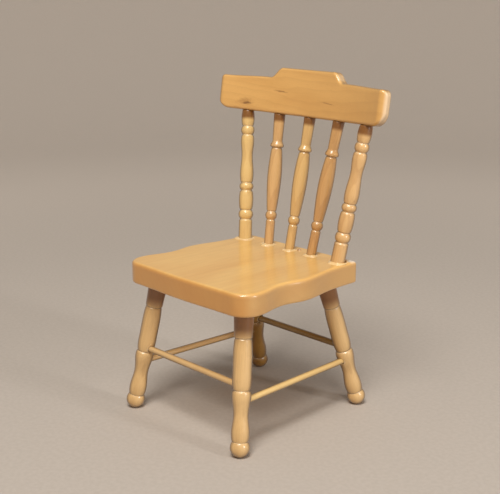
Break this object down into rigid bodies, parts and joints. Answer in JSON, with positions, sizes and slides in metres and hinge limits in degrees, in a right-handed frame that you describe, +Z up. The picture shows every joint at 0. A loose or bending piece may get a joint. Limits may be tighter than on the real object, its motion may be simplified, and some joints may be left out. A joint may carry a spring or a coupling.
{
  "type": "miniature spindle-back side chair",
  "caption": "Miniature wooden side chair: a waisted seat board on splayed turned legs joined by stretchers, with a turned spindle back and a stepped, curved crest rail.",
  "frame": {"origin": "on the floor under the centre of the whole chair's bounding box", "axes": "+Z up, -Y the way the chair faces, +X the sitter's left"},
  "size_m": [0.0578, 0.0496, 0.0863],
  "materials": {
    "seat_wood": "clear satin lacquer over pale hardwood, grain running front to back",
    "rail_wood": "clear satin lacquer over pale hardwood, grain along the rail, a few brown flecks",
    "back_turning_wood": "clear gloss lacquer over turned pale hardwood, grain along the turning",
    "leg_wood": "clear gloss lacquer over turned pale hardwood, grain along the leg",
    "dowel_wood": "clear satin lacquer over plain pale dowel"
  },
  "bodies": {
    "root": {"seat": "seat_wood", "crest_rail": "rail_wood", "post_left": "back_turning_wood", "post_right": "back_turning_wood", "spindle_left": "back_turning_wood", "spindle_middle": "back_turning_wood", "spindle_right": "back_turning_wood", "leg_front_left": "leg_wood", "leg_front_right": "leg_wood", "leg_rear_left": "leg_wood", "leg_rear_right": "leg_wood", "stretcher_front": "dowel_wood", "stretcher_rear": "dowel_wood", "stretcher_left": "dowel_wood", "stretcher_right": "dowel_wood"}
  },
  "joints": []
}
